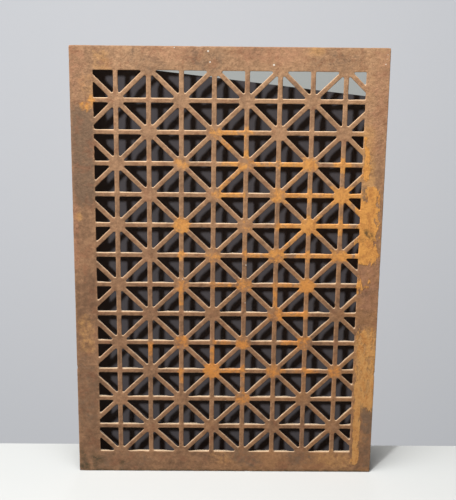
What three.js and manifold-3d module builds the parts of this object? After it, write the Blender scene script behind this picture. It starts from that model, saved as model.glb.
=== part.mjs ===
// Cast iron grille: one flat open casting with a plain border round a lattice of eight-pointed stars.
// Millimetres. X runs along the face, Z up, and the face looks to -Y. The back lies in the plane Y = 0,
// and the origin is the middle of the bottom rail's back.
// The casting is drawn lying on its back, as it leaves the mould, and its mesh then stands upright.
import * as THREE from 'three';
import { mergeVertices } from 'three/addons/utils/BufferGeometryUtils.js';
import Module from 'manifold-3d';

// Driving dimensions
const PITCH = 52.3; // between neighbouring bars, centre to centre, across and up
const FULL_COLUMNS = 7; // whole squares across, between the first and the last upright bar
const ROWS = 13; // squares up
const LEFT_GAP = 35.5; // from the left stile to the centre of the first upright bar
const RIGHT_GAP = 31.3; // from the centre of the last upright bar to the right stile
const STILE_WIDTH = 37.5; // the plain border at each side
const RAIL_WIDTH = 39.4; // the plain border above and below
const BAR_WIDTH = 7.8; // across the face of every bar
const THICKNESS = 10; // face to back
const STAR_BOSS_RADIUS = 14; // from a star's centre to the flats where its eight bars part
const BORDER_ROOT_CUT = 2.5; // how far a sharp corner against the border is cut back along its sides
const DRAFT = 1.8; // how much each wall of a hole leans outwards from the face to the back
const DISH_RADIUS = 28; // the hollow behind each star, measured along its bars
const DISH_FLOOR_RADIUS = 15.5; // the same, to where its flanks reach the flat floor
const DISH_DEPTH = 4.4;
const PLATE_CORNER_CUT = 1.2; // the worn tip of each corner of the plate

// Worked out from these
const POKE = 3; // how far a cutting solid reaches past the surface it cuts
const HALF_BAR = BAR_WIDTH / 2;
const LATTICE_WIDTH = FULL_COLUMNS * PITCH;
const LATTICE_HEIGHT = ROWS * PITCH;
const OPENING_WIDTH = LEFT_GAP + LATTICE_WIDTH + RIGHT_GAP;
const OPENING_HEIGHT = LATTICE_HEIGHT - BAR_WIDTH; // the first and last cross bars are lost in the rails
const WIDTH = OPENING_WIDTH + 2 * STILE_WIDTH;
const HEIGHT = OPENING_HEIGHT + 2 * RAIL_WIDTH;
const OPENING_LEFT = -OPENING_WIDTH / 2;
const OPENING_BOTTOM = RAIL_WIDTH / 2;
const FIRST_BAR_X = OPENING_LEFT + LEFT_GAP;
const FIRST_BAR_Y = OPENING_BOTTOM - HALF_BAR;
const SIDES_OF_A_STAR = 8;
const HALF_STAR_ANGLE = Math.PI / SIDES_OF_A_STAR; // half the angle between neighbouring bars of a star

const wasm = await Module();
wasm.setup();

function toSolid(geometry) {
  const bare = geometry.index ? geometry.toNonIndexed() : geometry.clone();
  bare.deleteAttribute('normal');
  bare.deleteAttribute('uv');
  const merged = mergeVertices(bare, 1e-5);
  return new wasm.Manifold(new wasm.Mesh({
    numProp: 3,
    vertProperties: new Float32Array(merged.attributes.position.array),
    triVerts: new Uint32Array(merged.index.array),
  }));
}

function toGeometry(solid) {
  const mesh = solid.getMesh();
  const geometry = new THREE.BufferGeometry();
  geometry.setAttribute('position', new THREE.BufferAttribute(new Float32Array(mesh.vertProperties), 3));
  geometry.setIndex(new THREE.BufferAttribute(new Uint32Array(mesh.triVerts), 1));
  geometry.computeVertexNormals();
  return geometry;
}

// A lattice point, counted in squares from the bottom left crossing, as a point on the face.
const node = (column, row) => new THREE.Vector2(FIRST_BAR_X + column * PITCH, FIRST_BAR_Y + row * PITCH);

// Diagonal bars run from star to star. The other lattice points are plain crossings.
// The top left crossing is plain, so the count starts there.
const isStar = (column, row) => Math.abs(column + (ROWS - row)) % 2 === 1;

// The part of a convex outline that lies on the inward side of a line through a point.
function clip(points, onLine, inward) {
  const depths = points.map((point) => point.clone().sub(onLine).dot(inward));
  const kept = [];
  points.forEach((point, k) => {
    const after = (k + 1) % points.length;
    if (depths[k] >= 0) kept.push(point);
    if (depths[k] * depths[after] < 0) {
      kept.push(point.clone().lerp(points[after], depths[k] / (depths[k] - depths[after])));
    }
  });
  return kept;
}

// A convex outline, counterclockwise, cut back by half a bar along each side but those on the border.
function cutBackFromBars(points, isOnBorder) {
  let inner = points;
  points.forEach((start, k) => {
    const end = points[(k + 1) % points.length];
    if (isOnBorder(start) && isOnBorder(end)) return;
    const along = end.clone().sub(start).normalize();
    const inward = new THREE.Vector2(-along.y, along.x);
    inner = clip(inner, start.clone().addScaledVector(inward, HALF_BAR), inward);
  });
  return inner;
}

// Each sharp corner becomes a short flat. cutBackAt gives how far along its sides that flat starts.
function bluntCorners(points, cutBackAt) {
  return points.flatMap((corner, k) => {
    const before = points[(k + points.length - 1) % points.length].clone().sub(corner);
    const after = points[(k + 1) % points.length].clone().sub(corner);
    const isSharp = before.angleTo(after) < Math.PI / 3;
    if (!isSharp) return [corner];
    const cut = Math.min(cutBackAt(corner), before.length() / 3, after.length() / 3);
    return [before, after].map((side) => corner.clone().addScaledVector(side.normalize(), cut));
  });
}

// Every hole is half of a lattice square, cut by the square's diagonal bar.
// Those beside the stiles are cut short by the border.
function holeOutlines() {
  const left = new THREE.Vector2(OPENING_LEFT, 0);
  const right = new THREE.Vector2(OPENING_LEFT + OPENING_WIDTH, 0);
  const toTheRight = new THREE.Vector2(1, 0);
  const toTheLeft = new THREE.Vector2(-1, 0);
  const isOnBorder = (point) => [left, right].some((edge) => Math.abs(point.x - edge.x) < 1e-6);
  // Where two bars of a star part, their edges meet this far from the star's centre.
  const partingDistance = HALF_BAR / Math.sin(HALF_STAR_ANGLE);
  const starCut = (STAR_BOSS_RADIUS - partingDistance) / Math.cos(HALF_STAR_ANGLE);
  const cutBackAt = (corner) => (isOnBorder(corner) ? BORDER_ROOT_CUT : starCut);
  const outlines = [];
  for (let column = -1; column <= FULL_COLUMNS; column += 1) {
    for (let row = 0; row < ROWS; row += 1) {
      const bottomLeft = node(column, row);
      const bottomRight = node(column + 1, row);
      const topRight = node(column + 1, row + 1);
      const topLeft = node(column, row + 1);
      const halves = isStar(column, row)
        ? [[bottomLeft, bottomRight, topRight], [bottomLeft, topRight, topLeft]]
        : [[bottomLeft, bottomRight, topLeft], [bottomRight, topRight, topLeft]];
      for (const half of halves) {
        const shown = clip(clip(half, left, toTheRight), right, toTheLeft);
        const hole = cutBackFromBars(shown, isOnBorder);
        const isOpen = hole.length > 2;
        if (isOpen) outlines.push(bluntCorners(hole, cutBackAt));
      }
    }
  }
  return outlines;
}

// A hole's cutting solid: it widens towards the back, as the pattern's draft needs.
function holeCutter(outline) {
  const lean = DRAFT / THICKNESS;
  const geometry = new THREE.ExtrudeGeometry(new THREE.Shape(outline), {
    depth: POKE,
    bevelEnabled: true,
    bevelSegments: 1,
    bevelThickness: THICKNESS + POKE,
    bevelSize: lean * (THICKNESS + POKE),
    bevelOffset: -lean * POKE,
  });
  geometry.translate(0, 0, -POKE);
  return toSolid(geometry);
}

// The hollow behind a star: a shallow pyramid with its tip cut off, one flank across each of the eight bars.
function dishCutter(centre) {
  const radiusPerDepth = (DISH_RADIUS - DISH_FLOOR_RADIUS) / DISH_DEPTH;
  const height = DISH_RADIUS / radiusPerDepth + POKE;
  const radius = height * radiusPerDepth;
  const pyramid = new THREE.ConeGeometry(
    radius / Math.cos(HALF_STAR_ANGLE),
    height,
    SIDES_OF_A_STAR,
    1,
    false,
    HALF_STAR_ANGLE,
  );
  pyramid.rotateX(Math.PI / 2);
  pyramid.translate(centre.x, centre.y, height / 2 - POKE);
  const slab = new THREE.BoxGeometry(3 * radius, 3 * radius, DISH_DEPTH + 2 * POKE);
  slab.translate(centre.x, centre.y, DISH_DEPTH / 2 - POKE);
  return toSolid(pyramid).intersect(toSolid(slab));
}

function blankPlate() {
  const low = new THREE.Vector2(-WIDTH / 2, OPENING_BOTTOM - RAIL_WIDTH);
  const high = new THREE.Vector2(WIDTH / 2, OPENING_BOTTOM - RAIL_WIDTH + HEIGHT);
  const cut = PLATE_CORNER_CUT;
  const outline = new THREE.Shape([
    new THREE.Vector2(low.x + cut, low.y),
    new THREE.Vector2(high.x - cut, low.y),
    new THREE.Vector2(high.x, low.y + cut),
    new THREE.Vector2(high.x, high.y - cut),
    new THREE.Vector2(high.x - cut, high.y),
    new THREE.Vector2(low.x + cut, high.y),
    new THREE.Vector2(low.x, high.y - cut),
    new THREE.Vector2(low.x, low.y + cut),
  ]);
  return toSolid(new THREE.ExtrudeGeometry(outline, { depth: THICKNESS, bevelEnabled: false }));
}

function grilleCasting() {
  let casting = blankPlate();
  for (const outline of holeOutlines()) casting = casting.subtract(holeCutter(outline));
  for (let column = 0; column <= FULL_COLUMNS; column += 1) {
    for (let row = 0; row <= ROWS; row += 1) {
      if (isStar(column, row)) casting = casting.subtract(dishCutter(node(column, row)));
    }
  }
  return toGeometry(casting);
}

const rustedIron = new THREE.MeshStandardMaterial({ color: 0x8a5f40, roughness: 0.85, metalness: 0.25 });

const casting = new THREE.Mesh(grilleCasting(), rustedIron);
casting.name = 'grille_casting';
casting.rotation.x = Math.PI / 2;

const grille = new THREE.Group();
grille.add(casting);

export default grille;
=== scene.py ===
"""Dresses a cast iron grille: its rounded, uneven casting and its rust, and the stage round it.

Metres, in the grille's own frame: X to the right, Z up, the face looks to -Y and the back lies in Y = 0.
"""

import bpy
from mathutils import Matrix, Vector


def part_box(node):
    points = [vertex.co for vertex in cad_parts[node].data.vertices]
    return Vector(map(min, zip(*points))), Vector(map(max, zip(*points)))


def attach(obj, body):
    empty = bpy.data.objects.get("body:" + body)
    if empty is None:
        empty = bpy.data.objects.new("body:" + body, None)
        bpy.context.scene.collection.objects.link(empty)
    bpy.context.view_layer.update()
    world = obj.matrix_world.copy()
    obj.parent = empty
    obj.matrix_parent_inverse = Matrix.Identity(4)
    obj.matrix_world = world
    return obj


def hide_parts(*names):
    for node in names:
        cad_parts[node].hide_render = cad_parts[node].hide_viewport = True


bl_info = {
    "name": "Cast Iron Grille",
    "version": (1, 0, 0),
    "blender": (4, 5, 0),
    "location": "View3D > Sidebar > Grille",
    "description": "A rusted cast iron grille with a lattice of eight-pointed stars, and a stage for it",
    "category": "Add Mesh",
}

import math

import bmesh
import bpy
import numpy as np
from bpy.props import FloatProperty, FloatVectorProperty, IntProperty, PointerProperty
from mathutils import Matrix, Vector, noise

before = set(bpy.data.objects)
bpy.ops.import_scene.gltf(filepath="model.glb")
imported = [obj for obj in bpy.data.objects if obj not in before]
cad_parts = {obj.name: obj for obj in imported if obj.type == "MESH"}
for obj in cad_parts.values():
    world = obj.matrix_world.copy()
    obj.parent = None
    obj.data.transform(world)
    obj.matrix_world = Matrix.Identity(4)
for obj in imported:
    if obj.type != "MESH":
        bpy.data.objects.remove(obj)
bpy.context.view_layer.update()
NODE = "grille_casting"
LOW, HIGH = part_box(NODE)
THICKNESS = HIGH.y - LOW.y

CORNER_WEAR = 0.0006  # how far each corner of the plate is worn in, along both sides
CROSSING_REACH = 0.18  # in squares, from a crossing to where its paler shade is half gone
BACK_SHARE = 0.55  # how strongly rust and stains show on the back
# The worn edge of the face, in shares of its radius: how far in, how far down and how worn.
WORN_EDGE = (
    (1.35, 0.00, 0.2),
    (0.93, 0.02, 0.5),
    (0.50, 0.13, 0.9),
    (0.13, 0.50, 1.0),
    (0.00, 1.00, 0.6),
)

# Where the orange rust shows, as runs from one lattice point to another. A lattice point is its column and
# row, counted from the bottom left crossing. Each run also has its reach in squares and its strength.
RUSTY_RUNS = (
    ((7.0, 10.0), (7.0, 10.0), 0.30, 1.0),
    ((6.4, 9.0), (7.3, 9.0), 0.30, 1.0),
    ((5.2, 10.0), (6.0, 10.0), 0.22, 0.9),
    ((5.0, 9.0), (6.3, 9.0), 0.24, 0.9),
    ((6.0, 8.0), (7.0, 8.0), 0.30, 1.0),
    ((3.1, 9.0), (3.9, 9.0), 0.15, 0.8),
    ((3.2, 10.0), (5.0, 10.0), 0.16, 0.65),
    ((4.0, 11.0), (4.0, 11.0), 0.26, 0.7),
    ((2.0, 10.0), (2.0, 10.0), 0.24, 0.7),
    ((2.0, 8.0), (2.0, 8.0), 0.28, 0.95),
    ((4.0, 8.0), (4.0, 8.0), 0.24, 0.6),
    ((5.1, 8.0), (6.0, 8.0), 0.18, 0.9),
    ((3.0, 7.0), (3.0, 7.0), 0.26, 0.7),
    ((4.1, 7.0), (5.2, 7.0), 0.20, 0.7),
    ((5.8, 7.0), (7.2, 7.0), 0.20, 0.9),
    ((6.0, 6.0), (6.0, 6.0), 0.28, 1.0),
    ((5.0, 6.0), (5.9, 6.0), 0.16, 0.65),
    ((5.0, 5.0), (5.9, 5.0), 0.20, 0.75),
    ((2.0, 4.0), (2.0, 4.0), 0.24, 0.75),
    ((4.0, 4.0), (4.0, 4.0), 0.24, 0.8),
    ((5.4, 4.0), (6.0, 4.0), 0.24, 0.8),
    ((3.0, 3.0), (3.9, 3.0), 0.22, 0.8),
    ((3.0, 3.0), (3.0, 3.7), 0.16, 0.8),
    ((5.1, 3.0), (6.3, 3.0), 0.20, 0.65),
    ((6.0, 8.9), (5.2, 9.8), 0.13, 0.5),
    ((4.0, 2.1), (4.0, 2.7), 0.13, 0.5),
    ((-0.72, 12.0), (-0.95, 11.78), 0.16, 0.74),
    ((3.0, 11.0), (3.6, 11.0), 0.15, 0.8),
    ((6.0, 10.0), (6.0, 10.0), 0.22, 0.75),
    ((2.0, 7.0), (2.0, 7.0), 0.18, 0.75),
    ((5.0, 7.0), (5.0, 7.0), 0.26, 0.88),
    ((2.0, 6.0), (2.0, 6.0), 0.22, 0.75),
    ((4.0, 6.0), (4.0, 6.0), 0.24, 0.75),
    ((1.0, 3.95), (1.0, 3.6), 0.12, 0.75),
    ((3.05, 4.0), (3.5, 4.0), 0.12, 0.65),
    ((3.0, 3.0), (3.0, 3.0), 0.30, 1.05),
    ((2.0, 3.0), (2.0, 2.7), 0.12, 0.75),
    ((5.0, 3.0), (5.0, 3.0), 0.24, 0.8),
    ((7.0, 3.0), (7.0, 3.0), 0.22, 0.75),
    ((4.0, 2.0), (4.0, 2.0), 0.22, 0.78),
    ((4.0, 11.0), (4.0, 10.2), 0.12, 0.70),
    ((3.1, 10.9), (3.6, 10.4), 0.12, 0.66),
    ((3.9, 9.9), (3.1, 9.1), 0.12, 0.72),
    ((5.9, 7.9), (5.1, 7.1), 0.12, 0.70),
    ((3.0, 6.0), (3.8, 6.0), 0.13, 0.72),
    ((2.0, 6.0), (2.0, 5.4), 0.12, 0.70),
    ((5.0, 5.9), (5.0, 5.2), 0.12, 0.66),
)
# The same on the stiles, whose patches are ragged and streaked up and down.
RUSTY_PATCHES = (
    ((7.72, 10.9), (7.74, 10.3), 0.08, 0.78),
    ((7.74, 10.2), (7.72, 9.65), 0.14, 0.80),
    ((7.98, 9.15), (7.96, 8.7), 0.19, 0.95),
    ((7.80, 8.50), (7.84, 7.05), 0.33, 1.05),
    ((8.02, 6.1), (8.02, 6.0), 0.12, 0.7),
    ((7.66, 6.3), (7.68, 5.8), 0.12, 0.6),
    ((7.98, 4.15), (8.12, 1.9), 0.34, 0.74),
    ((7.78, 2.5), (7.80, -0.35), 0.10, 1.0),
)
# Where the old rust is golden, rosy or grey, told the same way.
GOLDEN_PLACES = (
    ((-0.45, 13.3), (-0.35, 12.9), 0.28, 0.6),
    ((-0.9, 12.6), (-0.75, 12.2), 0.30, 0.5),
    ((6.0, 13.62), (6.15, 13.60), 0.24, 0.7),
    ((-1.10, 4.7), (-1.02, 3.8), 0.24, 0.62),
    ((-1.23, 8.28), (-1.23, 8.25), 0.13, 0.9),
    ((3.2, -0.1), (3.6, -0.2), 0.30, 0.5),
    ((6.8, -0.1), (7.4, -0.3), 0.34, 0.6),
    ((8.02, 4.1), (8.12, 1.9), 0.40, 0.95),
    ((7.7, 11.0), (7.75, 9.0), 0.30, 0.8),
)
ROSY_PLACES = (
    ((-1.3, 13.4), (-1.2, 12.6), 0.40, 0.55),
    ((1.2, 13.6), (2.2, 13.5), 0.40, 0.6),
    ((4.0, 13.6), (5.4, 13.5), 0.44, 0.7),
    ((8.2, 13.3), (8.15, 10.4), 0.40, 0.6),
    ((-1.34, 11.4), (-1.32, 6.6), 0.11, 0.8),
    ((7.95, 6.8), (8.0, 5.4), 0.36, 0.7),
    ((3.0, 4.0), (4.4, 2.2), 0.90, 0.4),
)
GREY_PLACES = (
    ((-1.08, 11.5), (-1.02, 9.0), 0.38, 1.0),
    ((2.5, 13.3), (2.9, 13.2), 0.40, 0.6),
    ((0.6, 13.3), (1.2, 13.0), 0.36, 0.5),
    ((6.2, 13.25), (7.0, 13.2), 0.34, 0.48),
    ((7.70, 9.20), (7.72, 8.95), 0.16, 0.8),
    ((8.16, 1.50), (8.18, 0.95), 0.24, 0.95),
    ((8.22, 0.5), (8.24, -0.5), 0.20, 0.55),
    ((-1.1, 3.2), (-1.1, 1.2), 0.42, 0.5),
    ((-1.0, -0.2), (0.6, -0.3), 0.44, 0.5),
    ((3.9, 0.0), (4.3, -0.2), 0.36, 0.7),
    ((5.8, 0.0), (6.1, -0.1), 0.34, 0.6),
)
# Dark, greasy stains on the border, and a dark band along the plate's foot that is painted shade where it
# stands on the floor.
STAINS_AND_FOOT_SHADE = (
    ((-0.88, -0.18), (-0.70, -0.30), 0.11, 0.9),
    ((0.02, -0.35), (0.04, -0.34), 0.10, 1.0),
    ((-1.26, -0.50), (-1.00, -0.50), 0.13, 0.9),
    ((-1.28, 0.10), (-1.24, -0.20), 0.10, 0.6),
    ((7.84, 7.80), (7.98, 7.66), 0.11, 1.0),
    ((7.72, 7.62), (7.74, 7.58), 0.07, 0.7),
    # Painted shade: a dark band along the whole foot of the plate, where it meets the floor.
    ((-1.30, -0.66), (8.34, -0.66), 0.06, 0.9),
)
# Lumps and chips that the casting kept: a lattice place, the reach and the height, in metres.
LUMPS = (
    ((0.62, 0.10), 0.0040, 0.0012),
    ((0.74, 0.10), 0.0030, 0.0009),
    ((1.12, 0.10), 0.0035, 0.0010),
    ((1.62, 1.44), 0.0040, 0.0008),
    ((1.38, 1.68), 0.0035, 0.0009),
    ((2.60, 2.06), 0.0050, 0.0008),
    ((6.40, 5.06), 0.0040, 0.0009),
    ((-0.42, 11.55), 0.0035, 0.0010),
    ((-0.68, 11.58), 0.0040, 0.0012),
    ((-0.68, 11.08), 0.0035, 0.0010),
    ((-0.68, 10.35), 0.0045, 0.0010),
    ((-0.68, 10.12), 0.0030, 0.0012),
    ((3.42, 11.93), 0.0040, 0.0008),
    ((5.91, 8.55), 0.0035, 0.0009),
    ((6.93, 5.40), 0.0030, 0.0008),
    ((1.90, 5.60), 0.0040, 0.0008),
    ((3.35, 8.65), 0.0030, 0.0008),
    ((0.90, 0.12), 0.0040, -0.0010),
    ((8.31, 2.90), 0.0060, -0.0010),
    ((-1.38, 3.10), 0.0050, -0.0009),
    ((4.20, -0.67), 0.0060, -0.0008),
    ((2.50, 13.67), 0.0050, -0.0008),
)
# Flecks of white paint: a lattice place and a radius in metres.
PAINT_FLECKS = (
    ((2.80, 13.53), 0.0017),
    ((2.86, 13.20), 0.0013),
    ((4.79, 13.13), 0.0018),
    ((1.78, 13.63), 0.0010),
    ((4.05, 6.69), 0.0011),
    ((2.04, 6.20), 0.0010),
    ((4.04, 5.40), 0.0009),
    ((8.22, 13.47), 0.0008),
    ((8.20, 13.34), 0.0006),
    ((8.17, 13.18), 0.0009),
)


def from_srgb(red, green, blue):
    """A colour given as it looks on a screen, 0 to 255, as the linear light that a shader takes."""
    shares = (red / 255, green / 255, blue / 255)
    return tuple(s / 12.92 if s <= 0.04045 else ((s + 0.055) / 1.055) ** 2.4 for s in shares)


def colour_setting(name, description, red, green, blue):
    """A colour that a user can change, given as it looks on a screen."""
    return FloatVectorProperty(
        name=name, description=description, subtype="COLOR", default=from_srgb(red, green, blue), min=0, max=1
    )


def length_setting(name, description, default, precision=4):
    """A length in metres that a user can change."""
    return FloatProperty(
        name=name, description=description, default=default, unit="LENGTH", precision=precision
    )


class GrilleSizes(bpy.types.PropertyGroup):
    """The casting's sizes. Its overall size and thickness come from the frame."""

    squares_across: IntProperty(
        name="Whole Squares Across",
        description="Squares between the first and the last upright bar",
        default=7,
    )
    squares_up: IntProperty(
        name="Squares Up", description="Squares between the bottom and the top rail", default=13
    )
    stile_width: length_setting("Stile Width", "Plain border at each side", 0.0375)
    rail_width: length_setting("Rail Width", "Plain border above and below", 0.0394)
    left_gap: length_setting(
        "Left Gap", "From the left stile to the centre of the first upright bar", 0.0355
    )
    bar_width: length_setting("Bar Width", "Across the face of a bar", 0.0078)
    star_round: length_setting("Star Corner Radius", "Fillet between two bars of a star", 0.0017)
    root_round: length_setting("Root Corner Radius", "Fillet where a diagonal bar meets the border", 0.0011)
    crossing_round: length_setting("Crossing Corner Radius", "Fillet at a plain crossing", 0.0013)
    bar_edge_round: length_setting("Bar Edge Radius", "Worn edge of the bars' face", 0.0016)
    plate_edge_round: length_setting("Plate Edge Radius", "Worn outer edge of the face", 0.0012)
    back_edge_round: length_setting("Back Edge Radius", "Edge of the back", 0.0006)
    draft: length_setting(
        "Draft", "How much a hole's wall leans outwards from the face to the back", 0.0018
    )
    hollow_radius: length_setting("Hollow Radius", "Hollow behind each star", 0.028)
    hollow_floor: length_setting("Hollow Floor Radius", "Flat floor of the hollow", 0.0155)
    hollow_depth: length_setting("Hollow Depth", "Depth of the hollow", 0.0044)
    spacing: length_setting("Mesh Spacing", "Between points along a bar", 0.0042)
    unevenness: length_setting("Unevenness", "Waves of the cast skin", 0.0005, precision=5)
    fullness: length_setting(
        "Fullness",
        "How far a bar's skin starts outside its size, as the unevenness only sinks it",
        0.00028,
        precision=5,
    )


class GrilleFinish(bpy.types.PropertyGroup):
    """The colours of the rusted iron."""

    brown: colour_setting("Old Rust", "Brown rust that covers the iron", 156, 117, 87)
    # Also used for the painted shade along the plate's top edge.
    dark_brown: colour_setting("Dark Rust", "Darker mottling of the old rust", 118, 87, 64)
    tan: colour_setting("Pale Rust", "Paler rust towards the top and on rubbed edges", 190, 149, 113)
    warm: colour_setting("Warm Rust", "Warmer rust towards the right", 160, 112, 70)
    rosy: colour_setting("Rosy Rust", "Rosy clouds in the old rust", 174, 123, 94)
    red_brown: colour_setting("Red Rust", "Darker, redder blotches of the old rust", 138, 90, 64)
    golden: colour_setting("Golden Rust", "Golden clouds in the old rust", 204, 152, 94)
    grey: colour_setting("Grey Rust", "Greyish clouds in the old rust", 116, 93, 74)
    orange: colour_setting("Fresh Rust", "Orange bloom of fresh rust", 226, 158, 80)
    bar_orange: colour_setting(
        "Fresh Rust On Bars", "Redder bloom of fresh rust on the lower bars and stars", 217, 142, 66
    )
    deep_orange: colour_setting("Deep Fresh Rust", "Deeper streaks in the orange bloom", 184, 120, 62)
    # Partly dust and partly a painted highlight, where the walls face the lamp overhead.
    dust_and_top_light: colour_setting("Dust", "Pale dust on the walls that face up", 226, 200, 166)
    # Also used for the painted shade along the plate's foot.
    stain_and_foot_shade: colour_setting("Stains", "Greasy stains", 70, 62, 42)
    paint: colour_setting("Paint Flecks", "Flecks of paint", 232, 222, 208)


class StageSettings(bpy.types.PropertyGroup):
    """The floor, the sheets behind the grille and the light."""

    floor_colour: colour_setting("Floor", "Pale floor", 201, 202, 200)
    backdrop_colour: colour_setting("Backdrop", "Grey backdrop", 178, 180, 184)
    # Partly painted shade: the board's dark grey stands in partly for the deep shade behind the grille.
    board_colour: colour_setting("Board", "Dark board close behind", 79, 76, 79)
    backdrop_gap: length_setting("Backdrop Gap", "From the grille's back to the foot of the backdrop", 0.09)
    backdrop_lean: FloatProperty(
        name="Backdrop Lean",
        description="How far the backdrop leans away from the grille",
        default=math.radians(12.0),
        subtype="ANGLE",
    )
    # Painted shade: the strip is a darker grey than the backdrop, for the shade on the backdrop seen through
    # the top row of holes.
    shaded_strip_colour: colour_setting("Strip", "Grey sheet that shows over the board", 140, 144, 143)
    board_gap: length_setting("Board Gap", "From the grille's back to the dark board", 0.028)
    board_overlap: length_setting("Board Overlap", "How far the board reaches behind the border", 0.005)
    key_power: FloatProperty(
        name="Key Light", description="Lamp at the upper left", default=132, unit="POWER"
    )
    top_power: FloatProperty(name="Top Light", description="Wide lamp overhead", default=100, unit="POWER")
    wash_power: FloatProperty(
        name="Backdrop Light", description="Lamp for the backdrop", default=100, unit="POWER"
    )
    back_power: FloatProperty(name="Back Light", description="Wide lamp behind", default=44, unit="POWER")
    sky_strength: FloatProperty(name="Sky", description="Soft light from all round", default=0.06, min=0)


class Lattice:
    """Where the bars, stars and holes lie in the plane of the face, as (x, z) in metres."""

    def __init__(self, sizes):
        self.sizes = sizes
        self.half_bar = sizes.bar_width / 2
        self.left = LOW.x + sizes.stile_width
        self.right = HIGH.x - sizes.stile_width
        opening_low = LOW.z + sizes.rail_width
        opening_high = HIGH.z - sizes.rail_width
        self.pitch = (opening_high - opening_low + sizes.bar_width) / sizes.squares_up
        self.origin = Vector((self.left + sizes.left_gap, opening_low - self.half_bar))
        # The lattice's share of the mesh reaches this rectangle, and the border has the rest.
        self.rim_low = Vector((self.left - self.half_bar, self.origin.y))
        self.rim_high = Vector((self.right + self.half_bar, self.origin.y + sizes.squares_up * self.pitch))

    def point(self, column, row):
        return self.origin + self.pitch * Vector((column, row))

    def is_star(self, column, row):
        """Diagonal bars run from star to star, and the top left crossing is plain."""
        return (column + self.sizes.squares_up - row) % 2 == 1

    def is_on_stile(self, point):
        return min(abs(point.x - self.left), abs(point.x - self.right)) < 1e-6

    def hollow_at(self, points):
        """How deep the back is hollowed at each of the points."""
        sizes = self.sizes
        steps = (points - np.array(self.origin)) / self.pitch
        nearest = np.full(len(points), np.inf)
        for column in range(sizes.squares_across + 1):
            for row in range(sizes.squares_up + 1):
                if self.is_star(column, row):
                    away = np.hypot(steps[:, 0] - column, steps[:, 1] - row)
                    nearest = np.minimum(nearest, away)
        flank = (sizes.hollow_radius - nearest * self.pitch) / (sizes.hollow_radius - sizes.hollow_floor)
        flank = np.clip(flank, 0, 1)
        return sizes.hollow_depth * flank * flank * (3 - 2 * flank)

    def nearness(self, points):
        """How near each of the points is to a crossing: 1 on it, 0 between two, and a half on the border."""
        steps = (points - np.array(self.origin)) / self.pitch
        away = np.abs(steps - np.round(steps)).max(axis=1)
        low = np.array((self.left, self.rim_low.y + self.half_bar))
        high = np.array((self.right, self.rim_high.y - self.half_bar))
        inside = ((points > low) & (points < high)).all(axis=1)
        return np.where(inside, np.clip(1.5 - away / CROSSING_REACH, 0, 1), 0.5)

    def holes(self):
        """Each hole as the outline of its share of the mesh and its own sharp outline, counterclockwise."""
        sizes = self.sizes
        for column in range(-1, sizes.squares_across + 1):
            for row in range(sizes.squares_up):
                low_left = self.point(column, row)
                low_right = self.point(column + 1, row)
                high_right = self.point(column + 1, row + 1)
                high_left = self.point(column, row + 1)
                if self.is_star(column, row):
                    halves = ((low_left, low_right, high_right), (low_left, high_right, high_left))
                else:
                    halves = ((low_left, low_right, high_left), (low_right, high_right, high_left))
                for half in halves:
                    share = self.between(half, self.rim_low.x, self.rim_high.x)
                    shown = self.between(half, self.left, self.right)
                    yield share, self.cut_back(shown)

    def between(self, points, low_x, high_x):
        from_left = clip(points, Vector((low_x, 0)), Vector((1, 0)))
        return clip(from_left, Vector((high_x, 0)), Vector((-1, 0)))

    def cut_back(self, points):
        """The outline moved in by half a bar along each side but the one on the stile."""
        inner = points
        for start, end in sides(points):
            if self.is_on_stile(start) and self.is_on_stile(end):
                continue
            along = (end - start).normalized()
            inward = Vector((-along.y, along.x))
            inner = clip(inner, start + inward * (self.half_bar + self.sizes.fullness), inward)
        return inner

    def corner_radius(self, corner, opening):
        is_sharp = opening < math.radians(60)
        if not is_sharp:
            return self.sizes.crossing_round
        return self.sizes.root_round if self.is_on_stile(corner) else self.sizes.star_round


def sides(points):
    return zip(points, list(points[1:]) + [points[0]])


def clip(points, on_line, inward):
    """The part of a convex outline on the inward side of a line through a point."""
    kept = []
    for start, end in sides(points):
        here = (start - on_line).dot(inward)
        there = (end - on_line).dot(inward)
        if here >= 0:
            kept.append(start)
        if here * there < 0:
            kept.append(start.lerp(end, here / (here - there)))
    return kept


def marked(points, spacing):
    """Points along an outline's sides, evenly spaced on each, as an array."""
    marks = []
    for start, end in sides(points):
        steps = max(1, round((end - start).length / spacing))
        marks.extend(start.lerp(end, k / steps) for k in range(steps))
    return np.array([tuple(mark) for mark in marks])


def rounded(points, radius_of, spacing):
    """Points along a convex outline with rounded corners, and the directions from them into the iron."""
    places, outwards = [], []
    count = len(points)
    arcs = []
    for k, corner in enumerate(points):
        to_before = points[k - 1] - corner
        to_after = points[(k + 1) % count] - corner
        opening = to_before.angle(to_after)
        longest = 0.45 * min(to_before.length, to_after.length) * math.tan(opening / 2)
        radius = min(radius_of(corner, opening), longest)
        middle = (to_before.normalized() + to_after.normalized()).normalized()
        centre = corner + middle * radius / math.sin(opening / 2)
        arcs.append((centre, radius, -middle, math.pi - opening))
    for k, (centre, radius, middle, turn) in enumerate(arcs):
        steps = max(2, round(turn / math.radians(32)))
        for step in range(steps + 1):
            swing = turn * (step / steps - 0.5)
            outward = middle.copy()
            outward.rotate(Matrix.Rotation(swing, 2))
            places.append(centre + outward * radius)
            outwards.append(outward)
        next_centre, next_radius, next_middle, next_turn = arcs[(k + 1) % count]
        start = places[-1]
        outward = outwards[-1]
        end = next_centre + outward * next_radius
        steps = max(1, round((end - start).length / spacing))
        for step in range(1, steps):
            places.append(start.lerp(end, step / steps))
            outwards.append(outward)
    return np.array([tuple(p) for p in places]), np.array([tuple(o) for o in outwards])


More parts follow.
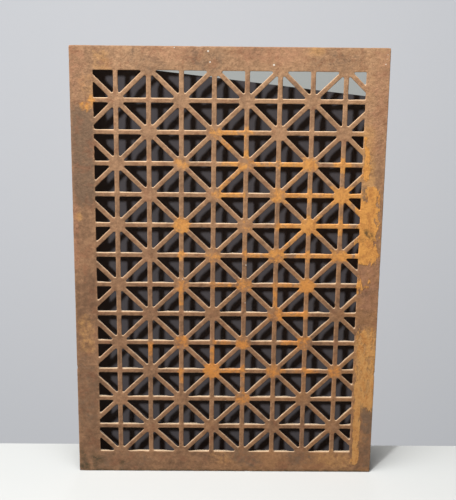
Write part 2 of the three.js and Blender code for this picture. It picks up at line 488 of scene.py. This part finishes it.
class Skin:
    """The casting's surface as it is built: points and faces, and each point's share of wear and of back."""

    def __init__(self, lattice):
        self.lattice = lattice
        self.points = []
        self.faces = []
        self.wear = []
        self.back = []

    def ring(self, outline, depth, wear=0.0, back=0.0):
        """Adds a ring of points at a depth behind the face, and returns their numbers."""
        first = len(self.points)
        depths = np.broadcast_to(depth, len(outline))
        self.points.extend((x, LOW.y + y, z) for (x, z), y in zip(outline, depths))
        self.wear.extend([wear] * len(outline))
        self.back.extend([back] * len(outline))
        return list(range(first, len(self.points)))

    def join(self, ring, other):
        """Fills the strip between two rings of as many points."""
        for k in range(len(ring)):
            self.faces.append((ring[k - 1], ring[k], other[k], other[k - 1]))

    def lace(self, inner, outer, centre):
        """Fills the space between two rings of any number of points, both counterclockwise round a centre."""
        turns = []
        for ring in (inner, outer):
            arms = [(self.points[k][0] - centre[0], self.points[k][2] - centre[1]) for k in ring]
            angles = [math.atan2(z, x) for x, z in arms]
            first = angles.index(min(angles))
            turns.append([(angles[k], ring[k]) for k in (*range(first, len(ring)), *range(first))])
        near, far = turns
        a = b = 0
        while a < len(near) or b < len(far):
            next_near = near[a + 1][0] if a + 1 < len(near) else math.inf
            next_far = far[b + 1][0] if b + 1 < len(far) else math.inf
            here = near[a % len(near)][1]
            there = far[b % len(far)][1]
            if b == len(far) or (a < len(near) and next_near <= next_far):
                a += 1
                self.faces.append((here, there, near[a % len(near)][1]))
            else:
                b += 1
                self.faces.append((here, there, far[b % len(far)][1]))

    def back_depth(self, outline):
        return THICKNESS - self.lattice.hollow_at(outline)

    def wall(self, outline, into_iron, edge):
        """Turns the edge of the face into a wall and then into the back. Returns its first and last ring."""
        sizes = self.lattice.sizes
        last = sizes.draft + sizes.back_edge_round
        bottom = self.back_depth(outline + into_iron * last)
        wall_end = bottom - sizes.back_edge_round
        rings = [
            self.ring(outline + into_iron * (edge * inward), edge * down, wear=wear)
            for inward, down, wear in WORN_EDGE
        ]
        rings += [
            self.ring(outline + into_iron * (sizes.draft * 0.5), (edge + wall_end) / 2, back=0.4),
            self.ring(outline + into_iron * sizes.draft, wall_end, back=0.9),
            self.ring(outline + into_iron * last, bottom, back=1.0),
        ]
        for ring, following in zip(rings, rings[1:]):
            self.join(ring, following)
        return rings[0], rings[-1]

    def add_hole(self, share, hole):
        """The bars' half round a hole: face, walls and back, out to the middle lines of the bars."""
        sizes = self.lattice.sizes
        outline, into_iron = rounded(hole, self.lattice.corner_radius, sizes.spacing)
        first, last = self.wall(outline, into_iron, sizes.bar_edge_round)
        marks = marked(share, sizes.spacing)
        centre = outline.mean(axis=0)
        self.lace(first, self.ring(marks, 0), centre)
        self.lace(last, self.ring(marks, self.back_depth(marks), back=1.0), centre)
        return marks

    def add_border(self, marks):
        """The plain border, from the lattice's rim out to the plate's edge and round to the back."""
        lattice = self.lattice
        rim_low = np.array(lattice.rim_low)
        rim_size = np.array(lattice.rim_high) - rim_low
        rim = rim_loop(marks, rim_low, rim_size)
        shares = (rim - rim_low) / rim_size
        plate_low = np.array((LOW.x, LOW.z))
        plate_size = np.array((HIGH.x, HIGH.z)) - plate_low
        outline = plate_low + shares * plate_size
        into_iron = (shares < 1e-6).astype(float) - (shares > 1 - 1e-6).astype(float)
        is_corner = np.abs(into_iron).sum(axis=1) > 1
        outline[is_corner] += into_iron[is_corner] * CORNER_WEAR
        sizes = lattice.sizes
        first, last = self.wall(outline, into_iron, sizes.plate_edge_round)
        steps = round(sizes.stile_width / sizes.spacing)
        for end, back in ((first, False), (last, True)):
            edge = np.array([(self.points[k][0], self.points[k][2]) for k in end])
            before = end
            for step in range(1, steps + 1):
                loop = edge + (rim - edge) * (step / steps)
                ring = self.ring(loop, self.back_depth(loop) if back else 0, back=float(back))
                self.join(before, ring)
                before = ring


def rim_loop(marks, rim_low, rim_size):
    """The mesh points on the lattice's rim, once each and in order round it."""
    shares = (marks - rim_low) / rim_size
    on_rim = (np.abs(shares - 0.5).max(axis=1)) > 0.5 - 1e-7
    points = marks[on_rim]
    centre = rim_low + rim_size / 2
    angles = np.arctan2(points[:, 1] - centre[1], points[:, 0] - centre[0])
    points = points[np.argsort(angles)]
    is_new = np.hypot(*(points - np.roll(points, 1, axis=0)).T) > 1e-6
    return points[is_new]


def run_field(places, runs):
    """How strongly a list of runs covers each place, from 0 to 1. Places are in squares, like the runs."""
    cover = np.zeros(len(places))
    for start, end, reach, strength in runs:
        start = np.array(start)
        along = np.array(end) - start
        share = np.clip((places - start) @ along / max(along @ along, 1e-9), 0, 1)
        away = np.linalg.norm(places - start - share[:, None] * along, axis=1)
        cover = np.maximum(cover, strength * np.clip(1.6 - away / reach, 0, 1))
    return cover


def waves(points, size, offset=0.0):
    """Smooth unevenness from -1 to 1 whose waves have a given size in metres."""
    return np.array([noise.noise(Vector(p) / size + Vector((offset, 0, 0))) for p in points])


def roughen(mesh, lattice):
    """Gives the casting its uneven skin, worn edges, lumps and chips, and never more than its full size."""
    count = len(mesh.vertices)
    points = np.empty(count * 3)
    mesh.vertices.foreach_get("co", points)
    points = points.reshape(-1, 3)
    normals = np.empty(count * 3)
    mesh.vertex_normals.foreach_get("vector", normals)
    normals = normals.reshape(-1, 3)
    wear, back = (np.empty(count), np.empty(count))
    mesh.attributes["wear"].data.foreach_get("value", wear)
    mesh.attributes["back"].data.foreach_get("value", back)
    size = lattice.sizes.unevenness
    broad = 0.5 + 0.5 * waves(points, 0.016)
    fine = 0.5 + 0.5 * waves(points, 0.006, 7.3)
    nicks = np.clip(waves(points, 0.009, 3.1) - 0.25, 0, 1)
    nicked = size * 2.6 * wear * nicks
    pocked = size * 2.2 * back * np.clip(broad + 0.4 * fine - 0.45, 0, 1)
    sink = size * (0.5 * broad + 0.5 * fine) + nicked + pocked
    places = (points[:, (0, 2)] - np.array(lattice.origin)) / lattice.pitch
    for centre, reach, height in LUMPS:
        away = np.hypot(*(places - centre).T) * lattice.pitch
        sink -= height * np.clip(1 - (away / reach) ** 2, 0, 1) ** 2
    points = points - normals * sink[:, None]
    points = np.clip(points, np.array(LOW), np.array(HIGH))
    mesh.vertices.foreach_set("co", points.ravel())
    cover = {
        "bloom": run_field(places, RUSTY_RUNS),
        "patch": run_field(places, RUSTY_PATCHES),
        "golden": run_field(places, GOLDEN_PLACES),
        "rosy": run_field(places, ROSY_PLACES),
        "grey": run_field(places, GREY_PLACES),
        "stain_and_foot_shade": run_field(places, STAINS_AND_FOOT_SHADE),
        "crossing": lattice.nearness(points[:, (0, 2)]),
    }
    # The back is plainer than the face.
    plainer = np.where(back < 1, 1.0, BACK_SHARE)
    for name, values in cover.items():
        mesh.attributes.new(name, "FLOAT", "POINT").data.foreach_set("value", values * plainer)
    mesh.update()


def casting_mesh(sizes):
    """The whole casting as one closed mesh."""
    lattice = Lattice(sizes)
    skin = Skin(lattice)
    marks = [skin.add_hole(share, hole) for share, hole in lattice.holes()]
    skin.add_border(np.concatenate(marks))
    mesh = bpy.data.meshes.new("grille")
    mesh.from_pydata(skin.points, [], skin.faces)
    mesh.attributes.new("wear", "FLOAT", "POINT").data.foreach_set("value", skin.wear)
    mesh.attributes.new("back", "FLOAT", "POINT").data.foreach_set("value", skin.back)
    work = bmesh.new()
    work.from_mesh(mesh)
    bmesh.ops.remove_doubles(work, verts=work.verts, dist=1e-6)
    bmesh.ops.recalc_face_normals(work, faces=work.faces)
    open_edges = sum(not edge.is_manifold for edge in work.edges)
    work.to_mesh(mesh)
    work.free()
    if open_edges:
        raise RuntimeError(f"the casting's mesh has {open_edges} open edges")
    for polygon in mesh.polygons:
        polygon.use_smooth = True
    roughen(mesh, lattice)
    return mesh, lattice


class Paints:
    """A material's node tree, with short ways to add and join nodes."""

    def __init__(self, name):
        self.material = bpy.data.materials.new(name)
        self.material.use_nodes = True
        self.tree = self.material.node_tree
        self.shader = self.tree.nodes["Principled BSDF"]
        self.place = self.add("ShaderNodeTexCoord").outputs["Object"]

    def add(self, kind, inputs=(), **settings):
        node = self.tree.nodes.new(kind)
        for name, value in settings.items():
            setattr(node, name, value)
        for name, value in dict(inputs).items():
            self.put(value, node.inputs[name])
        return node

    def put(self, value, socket):
        if isinstance(value, bpy.types.NodeSocket):
            self.tree.links.new(value, socket)
        else:
            socket.default_value = value

    def maths(self, operation, first, second, clamp=False):
        node = self.add("ShaderNodeMath", {0: first, 1: second}, operation=operation, use_clamp=clamp)
        return node.outputs[0]

    def noise(self, feature, detail=3.0, rough=0.6, distortion=0.0, stretch=(1.0, 1.0, 1.0)):
        """Noise whose features have a given size in metres. A small share in stretch draws them out."""
        place = self.add("ShaderNodeVectorMath", {0: self.place, 1: stretch}, operation="MULTIPLY")
        inputs = {
            "Vector": place.outputs[0],
            "Scale": 1 / feature,
            "Detail": detail,
            "Roughness": rough,
            "Distortion": distortion,
        }
        return self.add("ShaderNodeTexNoise", inputs).outputs["Fac"]

    def ramp(self, value, low, high, bottom=0.0, top=1.0):
        """Rises smoothly from bottom to top while the value goes from low to high."""
        inputs = {"Value": value, "From Min": low, "From Max": high, "To Min": bottom, "To Max": top}
        return self.add("ShaderNodeMapRange", inputs, interpolation_type="SMOOTHSTEP").outputs["Result"]

    def mix(self, factor, first, second, blend="MIX"):
        node = self.add("ShaderNodeMix", data_type="RGBA", blend_type=blend)
        self.put(factor, node.inputs[0])
        self.put(first, node.inputs[6])
        self.put(second, node.inputs[7])
        return node.outputs[2]

    def shaded(self, colour, strength):
        """The colour made darker or lighter by a strength round 1."""
        grey = self.add("ShaderNodeCombineColor", {0: strength, 1: strength, 2: strength}).outputs[0]
        return self.mix(1.0, colour, grey, "MULTIPLY")

    def cover(self, amount, ragged, raggedness, low, high, most):
        """How fully a spot covers what is under it, with a ragged edge, and nothing away from the spot."""
        swing = self.maths("MULTIPLY", self.maths("SUBTRACT", ragged, 0.5), raggedness)
        covered = self.ramp(self.maths("ADD", amount, swing), low, high, 0.0, most)
        return self.maths("MULTIPLY", covered, self.ramp(amount, 0.02, 0.25))

    def attribute(self, name):
        return self.add("ShaderNodeAttribute", attribute_name=name).outputs["Fac"]


def opaque(colour):
    return (*colour, 1.0)


def rusted_iron(finish, lattice):
    """Dry brown rust, mottled, paler on rubbed edges, with orange bloom, stains and flecks of paint."""
    paints = Paints("rusted_iron")
    axes = paints.add("ShaderNodeSeparateXYZ", {0: paints.place}).outputs
    grain = paints.noise(0.0040, detail=3)
    blotch = paints.noise(0.0085, detail=4, rough=0.6)
    mottle = paints.noise(0.010, detail=5, rough=0.62)
    cloud = paints.noise(0.050, detail=5)
    ragged = paints.noise(0.012, detail=6, rough=0.7, distortion=0.4)
    streaks = paints.noise(0.010, detail=6, rough=0.72, distortion=0.3, stretch=(1.0, 1.0, 0.38))

    # Old rust: brown, mottled, warmer towards the right and paler towards the top
    mottling = paints.maths(
        "ADD", paints.maths("MULTIPLY", mottle, 0.55), paints.maths("MULTIPLY", cloud, 0.45)
    )
    colour = paints.mix(paints.ramp(mottling, 0.38, 0.62), opaque(finish.dark_brown), opaque(finish.brown))
    to_the_right = paints.ramp(axes["X"], LOW.x, HIGH.x, 0.1, 0.8)
    warmth = paints.maths("MULTIPLY", to_the_right, paints.ramp(cloud, 0.3, 0.65))
    colour = paints.mix(warmth, colour, opaque(finish.warm))
    from_left = paints.ramp(axes["X"], LOW.x, LOW.x + 0.10, 0.55, 1.0)
    upwards = paints.ramp(axes["Z"], LOW.z + 0.25, HIGH.z + 0.10, 0.08, 0.90)
    lift = paints.maths("MULTIPLY", upwards, paints.ramp(mottling, 0.32, 0.64, 0.35, 1.0))
    colour = paints.mix(paints.maths("MULTIPLY", lift, from_left), colour, opaque(finish.tan))
    clouds = paints.maths("ADD", paints.maths("MULTIPLY", mottle, 0.5), paints.maths("MULTIPLY", ragged, 0.5))
    tints = (
        ("golden", finish.golden, 2.2, 0.72),
        ("rosy", finish.rosy, 3.0, 0.55),
        ("grey", finish.grey, 3.4, 0.8),
    )
    for name, tint, raggedness, most in tints:
        clouded = paints.cover(paints.attribute(name), clouds, raggedness, 0.25, 1.0, most)
        colour = paints.mix(clouded, colour, opaque(tint))
    reddened = paints.ramp(paints.noise(0.016, detail=5, rough=0.65, distortion=0.3), 0.50, 0.68, 0.0, 0.45)
    colour = paints.mix(reddened, colour, opaque(finish.red_brown))
    colour = paints.shaded(colour, paints.ramp(grain, 0.30, 0.70, 0.89, 1.12))
    colour = paints.shaded(colour, paints.ramp(blotch, 0.32, 0.68, 0.92, 1.08))
    pitted = paints.ramp(paints.noise(0.0055, detail=3), 0.62, 0.72, 1.0, 0.78)
    colour = paints.shaded(colour, pitted)

    # Dust with a painted highlight on the walls that face up, painted shade along the plate's top edge, and
    # rubbed edges
    facing = paints.add("ShaderNodeSeparateXYZ", {0: paints.add("ShaderNodeNewGeometry").outputs["Normal"]})
    facing_up = paints.ramp(facing.outputs["Z"], 0.18, 0.8)
    # Partly dust and partly a painted highlight: the walls that face up are made paler, as if lit from above.
    dust_and_top_light_cover = paints.maths("MULTIPLY", facing_up, paints.ramp(mottle, 0.3, 0.6, 0.5, 0.95))
    below_top = paints.ramp(axes["Z"], HIGH.z - 0.006, HIGH.z - 0.003, 1.0, 0.15)
    colour = paints.mix(paints.maths("MULTIPLY", dust_and_top_light_cover, below_top), colour, opaque(finish.dust_and_top_light))
    # Painted shade: the plate's top edge, which faces the lamp overhead, is darkened with the dark rust
    # colour.
    at_the_top = paints.ramp(axes["Z"], HIGH.z - 0.004, HIGH.z - 0.001)
    above = paints.maths("MULTIPLY", at_the_top, facing.outputs["Z"])
    colour = paints.mix(paints.maths("MULTIPLY", above, 0.8, clamp=True), colour, opaque(finish.dark_brown))
    rubbed = paints.maths("MULTIPLY", paints.attribute("wear"), paints.ramp(mottle, 0.35, 0.6, 0.1, 0.6))
    rubbed = paints.maths("MULTIPLY", rubbed, below_top)
    colour = paints.mix(rubbed, colour, opaque(finish.tan))

    # Fresh rust: soft on the bars, ragged and streaked on the stiles
    soft = paints.cover(paints.attribute("bloom"), ragged, 2.4, 0.34, 0.98, 0.88)
    flaky = paints.cover(paints.attribute("patch"), streaks, 3.6, 0.46, 0.68, 0.95)
    streaky = paints.noise(0.007, detail=6, rough=0.7, stretch=(1.0, 1.0, 0.6))
    deeper = paints.ramp(streaky, 0.44, 0.66, 0.0, 0.8)
    lower = paints.ramp(axes["Z"], LOW.z + 0.24, LOW.z + 0.36, 0.75, 0.0)
    fresh = paints.mix(lower, opaque(finish.orange), opaque(finish.golden))
    middle = (LOW.z + HIGH.z) / 2
    low_down = paints.ramp(axes["Z"], middle - 0.10, middle + 0.10, 1.0, 0.0)
    on_bars = paints.mix(low_down, opaque(finish.orange), opaque(finish.bar_orange))
    for covered, tint in ((soft, on_bars), (flaky, fresh)):
        colour = paints.mix(covered, colour, paints.mix(deeper, tint, opaque(finish.deep_orange)))
    colour = paints.shaded(colour, paints.ramp(paints.attribute("crossing"), 0.0, 1.0, 0.95, 1.05))

    # Greasy stains, and painted shade along the plate's foot.
    stain_and_foot_shade_cover = paints.maths("MULTIPLY", paints.attribute("stain_and_foot_shade"), paints.ramp(ragged, 0.38, 0.6, 0.15, 0.9))
    colour = paints.mix(stain_and_foot_shade_cover, colour, opaque(finish.stain_and_foot_shade))

    for (column, row), radius in PAINT_FLECKS:
        spot = lattice.point(column, row)
        centre = (spot.x, LOW.y, spot.y)
        away = paints.add("ShaderNodeVectorMath", {0: paints.place, 1: centre}, operation="DISTANCE")
        fleck = paints.ramp(away.outputs["Value"], radius * 0.6, radius * 1.1, 1.0, 0.0)
        colour = paints.mix(fleck, colour, opaque(finish.paint))

    pits = paints.noise(0.0045, detail=6, rough=0.7)
    relief = paints.maths("ADD", pits, paints.maths("MULTIPLY", flaky, 0.35))
    bump = paints.add("ShaderNodeBump", {"Height": relief, "Strength": 0.9, "Distance": 0.0012})
    paints.put(colour, paints.shader.inputs["Base Color"])
    paints.put(paints.ramp(mottle, 0.3, 0.7, 0.70, 0.88), paints.shader.inputs["Roughness"])
    paints.put(bump.outputs["Normal"], paints.shader.inputs["Normal"])
    paints.shader.inputs["Specular IOR Level"].default_value = 0.3
    return paints.material


def plain(name, colour, roughness=0.9):
    paints = Paints(name)
    paints.shader.inputs["Base Color"].default_value = opaque(colour)
    paints.shader.inputs["Roughness"].default_value = roughness
    paints.shader.inputs["Specular IOR Level"].default_value = 0.2
    return paints.material


def seen_from_the_front(material):
    """Lets a stage sheet vanish when it is looked at from behind, so that the grille's back shows."""
    tree = material.node_tree
    side = tree.nodes.new("ShaderNodeNewGeometry")
    clear = tree.nodes.new("ShaderNodeBsdfTransparent")
    either = tree.nodes.new("ShaderNodeMixShader")
    tree.links.new(side.outputs["Backfacing"], either.inputs[0])
    tree.links.new(tree.nodes["Principled BSDF"].outputs[0], either.inputs[1])
    tree.links.new(clear.outputs[0], either.inputs[2])
    tree.links.new(either.outputs[0], tree.nodes["Material Output"].inputs["Surface"])


def add_object(name, data, material=None):
    made = bpy.data.objects.new(name, data)
    bpy.context.scene.collection.objects.link(made)
    if material is not None:
        data.materials.append(material)
    return made


def sheet_mesh(name, corners):
    mesh = bpy.data.meshes.new(name)
    mesh.from_pydata(corners, [], [tuple(range(len(corners)))])
    return mesh


def add_backdrop(name, corners, colour):
    """A sheet behind the grille that keeps no light from it."""
    made = add_object(name, sheet_mesh(name, corners), plain(name + "_paper", colour))
    seen_from_the_front(made.active_material)
    made.visible_diffuse = False
    made.visible_glossy = False
    made.visible_shadow = False
    return made


def add_light(name, location, target, size, power):
    light = bpy.data.lights.new(name, "AREA")
    light.shape = "DISK"
    light.size = size
    light.energy = power
    lamp = add_object(name, light)
    lamp.location = location
    lamp.rotation_euler = (Vector(target) - lamp.location).to_track_quat("-Z", "Y").to_euler()
    return lamp


def collection_of(name, *objects):
    """A set of objects that a lamp is kept to."""
    made = bpy.data.collections.new(name)
    for one in objects:
        made.objects.link(one)
    return made


def add_camera():
    """The view from above the middle of the face, with the vertical lines closing towards the foot."""
    camera = bpy.data.cameras.new("view")
    camera.sensor_fit = "VERTICAL"
    camera.sensor_width = 36
    camera.sensor_height = 36
    camera.lens = 99.1
    made = add_object("view", camera)
    right = Vector((0.99988, -0.01014, 0.01183))
    up = Vector((-0.00775, 0.33514, 0.94213))
    back = right.cross(up)
    turned = Matrix((right, up, back)).transposed().to_4x4()
    made.matrix_world = Matrix.Translation((-0.0301, -2.1526, 1.154)) @ turned
    bpy.context.scene.camera = made


class GRILLE_OT_casting(bpy.types.Operator):
    """Build the grille's casting with its rust"""

    bl_idname = "grille.casting"
    bl_label = "Build Casting"

    def execute(self, context):
        mesh, lattice = casting_mesh(context.scene.grille_sizes)
        piece = add_object("grille", mesh, rusted_iron(context.scene.grille_finish, lattice))
        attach(piece, "root")
        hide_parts(NODE)
        return {"FINISHED"}


class GRILLE_OT_stage(bpy.types.Operator):
    """Set the floor, the sheets behind the grille, the lamps and the camera"""

    bl_idname = "grille.stage"
    bl_label = "Set Stage"

    def execute(self, context):
        stage = context.scene.grille_stage
        ground = LOW.z
        floor_reach = 6.0
        corners = [(-1, -1), (1, -1), (1, 1), (-1, 1)]
        floor = add_object(
            "floor",
            sheet_mesh("floor", [(x * floor_reach, y * floor_reach, ground) for x, y in corners]),
            plain("floor_paper", stage.floor_colour),
        )
        floor.visible_diffuse = False
        half_width, tall = 1.2, 1.5
        foot = HIGH.y + stage.backdrop_gap
        top = foot + tall * math.tan(stage.backdrop_lean)
        backdrop = add_backdrop(
            "backdrop",
            [
                (-half_width, foot, ground),
                (half_width, foot, ground),
                (half_width, top, ground + tall),
                (-half_width, top, ground + tall),
            ],
            stage.backdrop_colour,
        )
        # The board hides behind the border, and a grey strip, darker than the backdrop as painted shade,
        # shows over its sloping top.
        sizes = context.scene.grille_sizes
        side = HIGH.x - sizes.stile_width + stage.board_overlap
        board_y = HIGH.y + stage.board_gap
        opening_top = HIGH.z - sizes.rail_width
        left_top = opening_top + 0.004
        right_top = opening_top - 0.047
        strip_y = board_y + 0.002
        strip_foot = opening_top - 0.08
        # Partly painted shade: the board's dark grey stands in partly for the deep shade behind the grille,
        # and it takes the grille's real shadows from the key lamp.
        board = add_backdrop(
            "board",
            [
                (-side, board_y, ground),
                (side, board_y, ground),
                (side, board_y, right_top),
                (-side, board_y, left_top),
            ],
            stage.board_colour,
        )
        # Painted shade: the strip's darker grey stands in for shade, as its lamp casts no shadow of the
        # grille on it.
        strip = add_backdrop(
            "strip",
            [
                (-side, strip_y, strip_foot),
                (side, strip_y, strip_foot),
                (side, strip_y, left_top),
                (-side, strip_y, left_top),
            ],
            stage.shaded_strip_colour,
        )
        middle = Vector((0, 0, (LOW.z + HIGH.z) / 2))
        key = add_light("key", middle + 4 * Vector((-0.43, -0.775, 0.465)), middle, 0.4, stage.key_power)
        top = add_light("top", middle + Vector((-0.3, -0.55, 2.7)), middle, 1.2, stage.top_power)
        wash = add_light("wash", middle + Vector((-0.3, -2.2, 1.4)), middle, 1.0, stage.wash_power)
        grille = bpy.data.objects["grille"]
        key.light_linking.receiver_collection = collection_of("lit_from_the_side", floor, board, grille)
        top.light_linking.receiver_collection = collection_of("lit_from_above", floor, grille)
        behind = collection_of("behind", backdrop, strip)
        wash.light_linking.receiver_collection = behind
        wash.light_linking.blocker_collection = behind
        add_light("back", middle + Vector((0.3, 4.0, 0.3)), middle, 1.5, stage.back_power)
        world = bpy.data.worlds.new("studio")
        world.use_nodes = True
        world.node_tree.nodes["Background"].inputs["Color"].default_value = (1, 1, 1, 1)
        world.node_tree.nodes["Background"].inputs["Strength"].default_value = stage.sky_strength
        context.scene.world = world
        context.scene.view_settings.view_transform = "Standard"
        add_camera()
        return {"FINISHED"}


class GRILLE_PT_panel(bpy.types.Panel):
    """Lists what builds the grille and its stage"""

    bl_idname = "GRILLE_PT_panel"
    bl_label = "Cast Iron Grille"
    bl_space_type = "VIEW_3D"
    bl_region_type = "UI"
    bl_category = "Grille"

    def draw(self, context):
        for group in (context.scene.grille_sizes, context.scene.grille_finish, context.scene.grille_stage):
            box = self.layout.box()
            for name in group.__annotations__:
                box.prop(group, name)
        self.layout.operator(GRILLE_OT_casting.bl_idname)
        self.layout.operator(GRILLE_OT_stage.bl_idname)


GROUPS = {"grille_sizes": GrilleSizes, "grille_finish": GrilleFinish, "grille_stage": StageSettings}
OTHERS = (GRILLE_OT_casting, GRILLE_OT_stage, GRILLE_PT_panel)


def register():
    for made in (*GROUPS.values(), *OTHERS):
        bpy.utils.register_class(made)
    for name, group in GROUPS.items():
        setattr(bpy.types.Scene, name, PointerProperty(type=group))


def unregister():
    for name in GROUPS:
        delattr(bpy.types.Scene, name)
    for made in reversed((*GROUPS.values(), *OTHERS)):
        bpy.utils.unregister_class(made)


def main():
    """Builds everything."""
    register()
    bpy.ops.grille.casting()
    bpy.ops.grille.stage()


if __name__ == "__main__":
    main()
